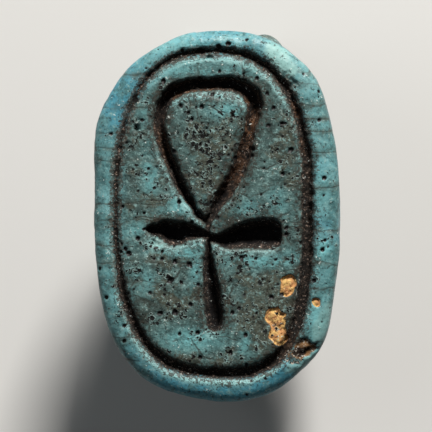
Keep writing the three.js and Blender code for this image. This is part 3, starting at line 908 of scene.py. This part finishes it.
def make_mesh(name, points, quads, triangles, marks):
    """A smooth-shaded mesh in metres from points in millimetres, with one value for each
    point under each mark's name."""
    mesh = bpy.data.meshes.new(name)
    loops = np.concatenate([quads.ravel(), triangles.ravel()]).astype(np.int32)
    sizes = np.concatenate([np.full(len(quads), 4), np.full(len(triangles), 3)])
    mesh.vertices.add(len(points))
    mesh.vertices.foreach_set("co", (points * MM).astype(np.float32).ravel())
    mesh.loops.add(len(loops))
    mesh.loops.foreach_set("vertex_index", loops)
    mesh.polygons.add(len(sizes))
    mesh.polygons.foreach_set("loop_start", (np.cumsum(sizes) - sizes).astype(np.int32))
    mesh.update(calc_edges=True)
    mesh.polygons.foreach_set("use_smooth", np.ones(len(sizes), bool))
    for mark, values in marks.items():
        layer = mesh.attributes.new(mark, "FLOAT", "POINT")
        layer.data.foreach_set("value", values.astype(np.float32))
    mesh.validate()
    piece = bpy.data.objects.new(name, mesh)
    bpy.context.scene.collection.objects.link(piece)
    return piece


def make_amulet():
    """Both parts of the skin and the triangles between them, as one piece. The upper part's
    last ring keeps its place, so that the two meet."""
    points, normals, quads, upper_ring = upper_part()
    carved, upper_marks = carve(points, normals)
    lower_points, lower_quads, lower_ring, lower_marks = lower_part()
    count = len(carved)
    triangles = stitch(
        upper_ring, np.arctan2(points[upper_ring, 1], points[upper_ring, 0]),
        lower_ring + count, np.arctan2(lower_points[lower_ring, 1], lower_points[lower_ring, 0]))
    carved[upper_ring] = points[upper_ring]
    marks = {name: np.concatenate([upper_marks[name], lower_marks[name]]) for name in upper_marks}
    return make_mesh("frog_amulet_faience", np.vstack([carved, lower_points]),
                     np.vstack([quads, lower_quads + count]), triangles, marks)


# Finish

class Nodes:
    """Short ways to add nodes to one tree."""

    def __init__(self, tree):
        self.tree = tree

    def add(self, kind, settings=None, **inputs):
        """A node of a kind, with its settings, and its inputs by name or number: a socket is
        linked, and anything else is a value."""
        node = self.tree.nodes.new(kind)
        for key, value in (settings or {}).items():
            setattr(node, key, value)
        for key, value in inputs.items():
            socket = node.inputs[int(key[1:]) if key[1:].isdigit() else key.replace("_", " ")]
            if isinstance(value, bpy.types.NodeSocket):
                self.tree.links.new(value, socket)
            else:
                socket.default_value = value
        return node

    def math(self, operation, a, b=0.0, clamp=False):
        node = self.add("ShaderNodeMath", {"operation": operation, "use_clamp": clamp}, i0=a, i1=b)
        return node.outputs[0]

    def times(self, a, b):
        return self.math("MULTIPLY", a, b)

    def times_plus(self, a, b, c):
        node = self.add("ShaderNodeMath", {"operation": "MULTIPLY_ADD"}, i0=a, i1=b, i2=c)
        return node.outputs[0]

    def ramp(self, value, low, high, out_low=0.0, out_high=1.0):
        """The value carried from low..high to out_low..out_high along a smooth step."""
        node = self.add("ShaderNodeMapRange", {"interpolation_type": "SMOOTHSTEP"}, Value=value,
                        From_Min=low, From_Max=high, To_Min=out_low, To_Max=out_high)
        return node.outputs[0]

    def mix(self, share, a, b):
        """Colour a where the share is 0 and b where it is 1."""
        node = self.add("ShaderNodeMix", {"data_type": "RGBA"}, i0=share)
        for number, colour in ((6, a), (7, b)):
            if isinstance(colour, bpy.types.NodeSocket):
                self.tree.links.new(colour, node.inputs[number])
            else:
                node.inputs[number].default_value = (*colour, 1)
        return node.outputs[2]

    def warped(self, place, per_mm, detail, reach, middle=0.5):
        """Places moved by a coloured noise with so many swells in a millimetre: its colour,
        less a middle value, times the reach in millimetres."""
        warp = self.add("ShaderNodeTexNoise", None, Vector=place, Scale=per_mm / MM, Detail=detail)
        shift = self.add("ShaderNodeVectorMath", {"operation": "SUBTRACT"},
                         i0=warp.outputs["Color"], i1=(middle, middle, middle))
        shift = self.add("ShaderNodeVectorMath", {"operation": "SCALE"}, i0=shift.outputs[0],
                         Scale=reach * MM)
        return self.add("ShaderNodeVectorMath", {"operation": "ADD"}, i0=place,
                        i1=shift.outputs[0]).outputs[0]

    def mark(self, name):
        return self.add("ShaderNodeAttribute", {"attribute_name": name}).outputs["Fac"]

    def noise(self, place, per_mm, detail=3.0, roughness=0.55):
        """Noise of about 0 to 1, with so many swells in a millimetre."""
        node = self.add("ShaderNodeTexNoise", None, Vector=place, Scale=per_mm / MM, Detail=detail,
                        Roughness=roughness)
        return node.outputs["Fac"]


MARKS = ("cut", "border", "dirt_spill_and_hollow_shade", "lip", "pit", "pitted", "bare", "stain", "field", "azure",
         "worn", "murk", "pooled", "rust", "craze", "crazed")

# Colours, as linear red, green and blue, from dark to pale where there are several
THIN = ((0.035, 0.055, 0.05), (0.06, 0.113, 0.107), (0.083, 0.15, 0.141))
THICK = ((0.056, 0.137, 0.14), (0.092, 0.228, 0.236), (0.142, 0.318, 0.33))
AZURE_GLAZE = (0.06, 0.225, 0.285)
POOLED_GLAZE = (0.145, 0.385, 0.395)
# Painted highlight on the lips of the cuts that face the key light
LIP_HIGHLIGHT = (0.25, 0.47, 0.46)
WORN_GLAZE = (0.2, 0.36, 0.34)
HAZE = (0.062, 0.062, 0.043)
BLOTCHES = ((0.02, 0.034, 0.031), (0.2, 0.34, 0.325))
FLECKS = ((0.018, 0.03, 0.028), (0.22, 0.35, 0.33))
PALE_SPECK = (0.6, 0.66, 0.62)
EARTH = (0.019, 0.013, 0.009)
RUST = (0.11, 0.046, 0.016)
BROWN_DIRT = ((0.007, 0.006, 0.005), (0.012, 0.009, 0.007), (0.26, 0.19, 0.15))
BLACK_DIRT = ((0.004, 0.003, 0.003), (0.06, 0.036, 0.024))
DIRT_FILM = (0.27, 0.225, 0.185)
SPILT_GRAIN = (0.026, 0.02, 0.014)
CRAZE_HALO = (0.06, 0.058, 0.04)
CRAZE_LINE = (0.022, 0.02, 0.014)
CORE = ((0.016, 0.01, 0.007), (0.15, 0.08, 0.035), (0.36, 0.33, 0.28))
OCHRE = ((0.5, 0.25, 0.1), (0.6, 0.38, 0.135))
OCHRE_CURL = (0.2, 0.08, 0.025)
OCHRE_GRAIN = (0.14, 0.06, 0.02)
# Painted shadow at the sunken edge of each orange spot
OCHRE_RIM_SHADOW = (0.06, 0.03, 0.015)
# Painted highlight on the rims round the small pits
PIT_RIM_HIGHLIGHT = (0.24, 0.36, 0.34)
PIT_DARK = (0.006, 0.0055, 0.005)


def new_group(name, inputs, outputs):
    """An empty shader node group with sockets of the given types, and its tree's helper."""
    tree = bpy.data.node_groups.new(name, "ShaderNodeTree")
    for direction, sockets in (("INPUT", inputs), ("OUTPUT", outputs)):
        for socket, kind in sockets.items():
            tree.interface.new_socket(socket, in_out=direction, socket_type="NodeSocket" + kind)
    nodes = Nodes(tree)
    return tree, nodes, nodes.add("NodeGroupInput").outputs, nodes.add("NodeGroupOutput").inputs


def glaze_group():
    """Colour of the clean glaze: grey-green on the field, turquoise on the rim and where it
    pooled, azure round parts of the rim, in soft clouds, with a painted highlight on the lips
    of the cuts that face the key light, with a brown haze where it is murky and with dark and
    pale blotches and flecks."""
    tree, n, given, out = new_group(
        "glaze", {"Place": "Vector", "Field": "Float", "Azure": "Float", "Worn": "Float",
                  "Murk": "Float", "Pooled": "Float", "Lip": "Float"},
        {"Color": "Color"})
    patch = n.noise(given["Place"], 1.7, 4, 0.65)
    fine = n.noise(given["Place"], 6.5, 4, 0.75)
    soft = n.ramp(n.noise(given["Place"], 0.8, 4, 0.6), 0.42, 0.64)
    thin = n.mix(n.ramp(patch, 0.36, 0.62), THIN[0], THIN[1])
    thin = n.mix(n.times(soft, 0.6), thin, THIN[2])
    thick = n.mix(n.ramp(patch, 0.36, 0.62), THICK[0], THICK[1])
    thick = n.mix(n.times(soft, 0.75), thick, THICK[2])
    colour = n.mix(given["Field"], thick, thin)
    azure = n.times(given["Azure"], n.ramp(patch, 0.3, 0.6, 0.4, 1.4))
    colour = n.mix(n.ramp(azure, 0.15, 1.0), colour, AZURE_GLAZE)
    pooled = n.times(given["Pooled"], n.ramp(patch, 0.34, 0.54, 0.4, 0.95))
    colour = n.mix(pooled, colour, POOLED_GLAZE)
    haze = n.times_plus(given["Murk"], 0.22, n.noise(given["Place"], 1.3, 5, 0.68))
    haze = n.math("SUBTRACT", haze, n.times(given["Pooled"], 0.12))
    haze = n.times(n.ramp(haze, 0.53, 0.66), n.times_plus(given["Field"], 0.6, 0.25))
    colour = n.mix(haze, colour, HAZE)
    # Painted highlight on the lips of the cuts that face the key light.
    lip = n.times(given["Lip"], n.ramp(patch, 0.3, 0.5, 0.6, 1.0))
    colour = n.mix(lip, colour, LIP_HIGHLIGHT)
    middle = n.noise(given["Place"], 3.2, 3, 0.7)
    blotched = n.times_plus(given["Field"], 0.38, 0.34)
    blotched = n.times(blotched, n.times_plus(given["Pooled"], -0.6, 1.0))
    colour = n.mix(n.times(n.ramp(middle, 0.45, 0.34), blotched), colour, BLOTCHES[0])
    colour = n.mix(n.times(n.ramp(middle, 0.57, 0.68), blotched), colour, BLOTCHES[1])
    worn = n.times(given["Worn"], n.ramp(patch, 0.28, 0.45, 0.6, 1.0))
    colour = n.mix(worn, colour, WORN_GLAZE)
    flecked = n.times_plus(given["Pooled"], -0.65, 1.0)
    colour = n.mix(n.times(n.ramp(fine, 0.55, 0.68, 0, 0.75), flecked), colour, FLECKS[1])
    colour = n.mix(n.times(n.ramp(fine, 0.46, 0.34, 0, 0.85), flecked), colour, FLECKS[0])
    tree.links.new(colour, out["Color"])
    return tree


def dirt_group():
    """Colour of the dirt packed in the cuts: brown and sandy where it is shallow, near black
    where it is deep, with rusty and pale grains. On the frog it lies in the hollows, where it
    is painted shade as well as dirt."""
    tree, n, given, out = new_group(
        "dirt", {"Place": "Vector", "Depth": "Float", "Rust": "Float"}, {"Color": "Color"})
    patch = n.noise(given["Place"], 1.8, 3)
    grain = n.noise(given["Place"], 8.0, 4, 0.85)
    earth = n.mix(given["Rust"], EARTH, RUST)
    shown = n.times_plus(given["Rust"], 0.08, patch)
    brown = n.mix(n.ramp(shown, 0.4, 0.62), BROWN_DIRT[1], earth)
    brown = n.mix(n.ramp(grain, 0.57, 0.64), brown, BROWN_DIRT[2])
    brown = n.mix(n.ramp(grain, 0.5, 0.44), brown, BROWN_DIRT[0])
    deep = n.times_plus(given["Rust"], -0.25, n.times_plus(patch, 0.4, given["Depth"]))
    deep = n.ramp(deep, 0.6, 0.85)
    black = n.mix(n.ramp(grain, 0.6, 0.68), *BLACK_DIRT)
    colour = n.mix(deep, brown, black)
    tree.links.new(colour, out["Color"])
    return tree


def pits_group():
    """Small pits of the glaze, as a dark mask and a mask of the rims round them, which are
    raised and painted pale as a highlight: the cells of a scattered pattern whose own random
    number is below a share have a pit round their middle, and warped places make it uneven.
    Blots of noise join them, more of them where the share is larger."""
    tree, n, given, out = new_group("pits", {"Place": "Vector", "Share": "Float"},
                                    {"Pit": "Float", "Rim": "Float"})
    place = n.warped(given["Place"], 7, 2, 0.22)
    crowd = n.ramp(n.noise(given["Place"], 1.3, 2), 0.35, 0.7, -0.3, 0.3)
    share = n.math("ADD", given["Share"], crowd)
    pit, rim = 0.0, 0.0
    for per_mm, widest in ((2.9, 0.34), (4.6, 0.42), (7.5, 0.44)):
        cells = n.add("ShaderNodeTexVoronoi", None, Vector=place, Scale=per_mm / MM)
        own = n.add("ShaderNodeSeparateColor", None, i0=cells.outputs["Color"]).outputs[0]
        radius = n.math("MULTIPLY", n.math("SUBTRACT", share, own, True), 2.0, True)
        radius = n.times(radius, widest)
        depth = n.math("SUBTRACT", radius, cells.outputs["Distance"])
        pit = n.math("MAXIMUM", pit, n.ramp(depth, 0.0, 0.08))
        near = n.times(n.ramp(depth, -0.16, -0.03), n.ramp(radius, 0.1, 0.25))
        rim = n.math("MAXIMUM", rim, near)
    blot = n.times_plus(given["Share"], 0.21, n.noise(place, 3.3, 3, 0.62))
    pit = n.math("MAXIMUM", pit, n.ramp(n.times_plus(crowd, 0.12, blot), 0.7, 0.75))
    tree.links.new(pit, out["Pit"])
    tree.links.new(n.math("SUBTRACT", rim, pit, True), out["Rim"])
    return tree


def craze_group():
    """The fine net of craze lines: a mask along the edges of the cells of a scattered
    pattern of warped places, broken off here and there."""
    tree, n, given, out = new_group("craze", {"Place": "Vector"}, {"Mask": "Float"})
    place = n.warped(given["Place"], 1.5, 4, 0.5, middle=0)
    place = n.add("ShaderNodeMapping", None, Vector=place, Scale=(0.6, 1.0, 0.6)).outputs[0]
    cells = n.add("ShaderNodeTexVoronoi", {"feature": "DISTANCE_TO_EDGE"}, Vector=place,
                  Scale=0.85 / MM)
    line = n.ramp(cells.outputs["Distance"], 0.0, 0.045, 1.0, 0.0)
    broken = n.ramp(n.noise(given["Place"], 0.8, 4), 0.42, 0.58)
    tree.links.new(n.times(line, broken), out["Mask"])
    return tree


def faience():
    """Glazed faience with dirt in its cuts, dark pits, craze lines, chips and orange spots, and
    with painted light: highlights on the lips of the cuts and round the pits, a shadow round the
    orange spots, and shade in the frog's hollows together with its dirt.
    """
    material = bpy.data.materials.new("worn turquoise faience")
    material.use_nodes = True
    tree = material.node_tree
    tree.nodes.clear()
    n = Nodes(tree)
    place = n.add("ShaderNodeTexCoord").outputs["Object"]
    marks = {name: n.mark(name) for name in MARKS}
    grain = n.noise(place, 7.0, 3, 0.75)
    patch = n.noise(place, 2.2, 3)

    glaze = n.add("ShaderNodeGroup", {"node_tree": glaze_group()}, Place=place,
                  Field=marks["field"], Azure=marks["azure"], Worn=marks["worn"],
                  Murk=marks["murk"], Pooled=marks["pooled"], Lip=marks["lip"])
    dirt = n.add("ShaderNodeGroup", {"node_tree": dirt_group()}, Place=place, Depth=marks["cut"],
                 Rust=marks["rust"])
    small = n.add("ShaderNodeGroup", {"node_tree": pits_group()}, Place=place,
                  Share=marks["pitted"])
    net = n.add("ShaderNodeGroup", {"node_tree": craze_group()}, Place=place)

    away = n.math("ABSOLUTE", marks["craze"])
    crazed = n.times(n.ramp(marks["crazed"], 0.0, 0.6),
                     n.math("SUBTRACT", 1.0, marks["worn"], True))
    line = n.times(n.ramp(away, 0.0, 0.06, 0.75, 0.0), crazed)
    line = n.math("MAXIMUM", line, n.times(net.outputs[0], marks["field"]))
    halo = n.times(n.ramp(away, 0.0, 0.34, 0.6, 0.0), crazed)
    halo = n.times(halo, n.ramp(patch, 0.35, 0.6))
    colour = n.mix(halo, glaze.outputs[0], CRAZE_HALO)
    colour = n.mix(n.times(line, 0.75), colour, CRAZE_LINE)

    ragged = n.math("ADD", n.times(grain, 0.5), n.times(patch, 0.2))
    ragged = n.times(n.math("SUBTRACT", ragged, 0.35), n.ramp(marks["cut"], 0.0, 0.1))
    edge = n.math("ADD", marks["cut"], ragged)
    film = n.times(n.ramp(marks["cut"], 0.03, 0.12), n.ramp(grain, 0.46, 0.56))
    film = n.times(film, n.ramp(marks["border"], 0.02, 0.08, 0.25, 0.7))
    colour = n.mix(film, colour, DIRT_FILM)
    # Dark grains spilt beside the cuts, and on the frog in its hollows, where they are painted
    # shade as well as dirt.
    grains = n.times_plus(marks["dirt_spill_and_hollow_shade"], 0.17, n.noise(place, 6.5, 3, 0.8))
    grains = n.times(n.ramp(grains, 0.58, 0.65), n.ramp(marks["dirt_spill_and_hollow_shade"], 0.0, 0.2))
    grains = n.times(grains, n.times_plus(marks["pooled"], -0.5, 0.85))
    colour = n.mix(grains, colour, SPILT_GRAIN)
    # Dirt in the cuts, and on the frog in its hollows, where it is painted shade as well as dirt.
    colour = n.mix(n.ramp(edge, 0.13, 0.22), colour, dirt.outputs[0])

    broken = n.ramp(n.times_plus(grain, 0.8, marks["bare"]), 0.75, 0.95)
    core = n.mix(n.ramp(patch, 0.44, 0.6), CORE[0], CORE[1])
    core = n.mix(n.ramp(grain, 0.55, 0.62), core, CORE[2])
    colour = n.mix(broken, colour, core)

    spot = n.ramp(marks["stain"], 0.02, 0.12)
    ochre = n.mix(n.ramp(n.noise(place, 3.5, 3), 0.42, 0.6), *OCHRE)
    curl = n.math("ABSOLUTE", n.math("SUBTRACT", n.noise(place, 2.6, 2, 0.6), 0.5))
    ochre = n.mix(n.ramp(curl, 0.03, 0.0, 0, 0.8), ochre, OCHRE_CURL)
    ochre = n.mix(n.ramp(grain, 0.45, 0.36), ochre, OCHRE_GRAIN)
    # Painted shadow: a dark ring at the sunken edge of each orange spot.
    ochre = n.mix(n.ramp(marks["stain"], 0.16, 0.02), ochre, OCHRE_RIM_SHADOW)
    colour = n.mix(spot, colour, ochre)
    # Painted highlight: pale rims round the small pits.
    colour = n.mix(n.times(small.outputs["Rim"], 0.5), colour, PIT_RIM_HIGHLIGHT)
    speck = n.times(n.ramp(grain, 0.62, 0.7), n.ramp(patch, 0.48, 0.6))
    colour = n.mix(speck, colour, PALE_SPECK)
    pit = n.math("MAXIMUM", small.outputs["Pit"], n.ramp(marks["pit"], 0.05, 0.3))
    colour = n.mix(pit, colour, PIT_DARK)

    dull = n.math("MAXIMUM", n.ramp(edge, 0.05, 0.2), n.math("MAXIMUM", spot, broken))
    shine = n.times(n.noise(place, 1.6, 3), 0.25)
    roughness = n.math("ADD", n.times(dull, 0.6), n.math("ADD", shine, 0.3))
    crumbs = n.times_plus(n.ramp(edge, 0.1, 0.2), 0.8, 0.4)
    height = n.math("ADD", n.noise(place, 3.0, 5, 0.65), n.times(grain, crumbs))
    rim_calm = n.math("MAXIMUM", marks["field"], n.ramp(marks["dirt_spill_and_hollow_shade"], 0.0, 0.5))
    height = n.times(height, n.times_plus(rim_calm, 0.5, 0.5))
    height = n.math("SUBTRACT", height, n.times(line, 0.08))
    height = n.math("SUBTRACT", height, n.times(small.outputs["Pit"], 1.1))
    height = n.math("ADD", height, n.times(small.outputs["Rim"], 0.25))
    bump = n.add("ShaderNodeBump", None, Strength=1.0, Distance=0.065 * MM, Height=height)
    shader = n.add("ShaderNodeBsdfPrincipled", None, Base_Color=colour, Roughness=roughness,
                   Normal=bump.outputs[0], Specular_IOR_Level=0.24)
    output = n.add("ShaderNodeOutputMaterial")
    tree.links.new(shader.outputs[0], output.inputs["Surface"])
    return material


# Studio

PHOTO_WIDTH = 18.62  # millimetres across the photograph, at the carved face
CAMERA_AWAY = 200.0
CAMERA_ASIDE = math.radians(3.5)  # how far the camera stands towards +X
CAMERA_AHEAD = math.radians(1.5)  # and towards +Y
FLOOR_HALF = 400.0
PAPER = (0.6, 0.59, 0.57)
SKY = (0.9, 0.95, 1)
SKY_STRENGTH = 0.045


def make_camera():
    """A long lens looking down on the carved face, with the photograph's field there."""
    camera = bpy.data.objects.new("camera", bpy.data.cameras.new("camera"))
    target = Vector((0, 0, SEAL_FACE * MM))
    back = Vector((math.cos(CAMERA_AHEAD) * math.sin(CAMERA_ASIDE), math.sin(CAMERA_AHEAD),
                   math.cos(CAMERA_AHEAD) * math.cos(CAMERA_ASIDE)))
    camera.location = target + back * CAMERA_AWAY * MM
    camera.rotation_euler = (-CAMERA_AHEAD, CAMERA_ASIDE, 0)
    camera.data.lens = camera.data.sensor_width * CAMERA_AWAY / PHOTO_WIDTH
    camera.data.clip_start = 0.005
    camera.data.clip_end = 10
    bpy.context.scene.collection.objects.link(camera)
    bpy.context.scene.camera = camera


def make_light(name, bearing, height, away, size, power, colour):
    """An area light aimed at the amulet: bearing in degrees from +Y towards +X, height in
    degrees above the floor, distance, size and power."""
    lamp = bpy.data.lights.new(name, "AREA")
    lamp.size = size * MM
    lamp.energy = power
    lamp.color = colour
    light = bpy.data.objects.new(name, lamp)
    b, h = math.radians(bearing), math.radians(height)
    towards = Vector((math.sin(b) * math.cos(h), math.cos(b) * math.cos(h), math.sin(h)))
    light.location = Vector((0, 0, SEAL_FACE * MM)) + towards * away * MM
    light.rotation_euler = (-towards).to_track_quat("-Z", "Y").to_euler()
    bpy.context.scene.collection.objects.link(light)


def make_studio():
    """A pale paper floor, a dim world, a key light from the head's side and a weak fill."""
    half = FLOOR_HALF * MM
    mesh = bpy.data.meshes.new("floor")
    mesh.from_pydata([(-half, -half, 0), (half, -half, 0), (half, half, 0), (-half, half, 0)],
                     [], [(0, 1, 2, 3)])
    floor = bpy.data.objects.new("floor", mesh)
    bpy.context.scene.collection.objects.link(floor)
    paper = bpy.data.materials.new("pale paper")
    paper.use_nodes = True
    shader = paper.node_tree.nodes["Principled BSDF"]
    shader.inputs["Base Color"].default_value = (*PAPER, 1)
    shader.inputs["Roughness"].default_value = 0.8
    mesh.materials.append(paper)

    world = bpy.data.worlds.new("studio")
    world.use_nodes = True
    background = world.node_tree.nodes["Background"]
    background.inputs["Color"].default_value = (*SKY, 1)
    background.inputs["Strength"].default_value = SKY_STRENGTH
    bpy.context.scene.world = world
    bpy.context.scene.view_settings.view_transform = "Standard"
    make_light("key", 14, 29, 260, 60, 1.5, (1, 0.98, 0.95))
    make_light("fill", -75, 48, 300, 160, 0.1, (0.9, 0.96, 1))


amulet = make_amulet()
amulet.data.materials.append(faience())
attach(amulet, "root")
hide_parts("frog_amulet")
make_studio()
make_camera()
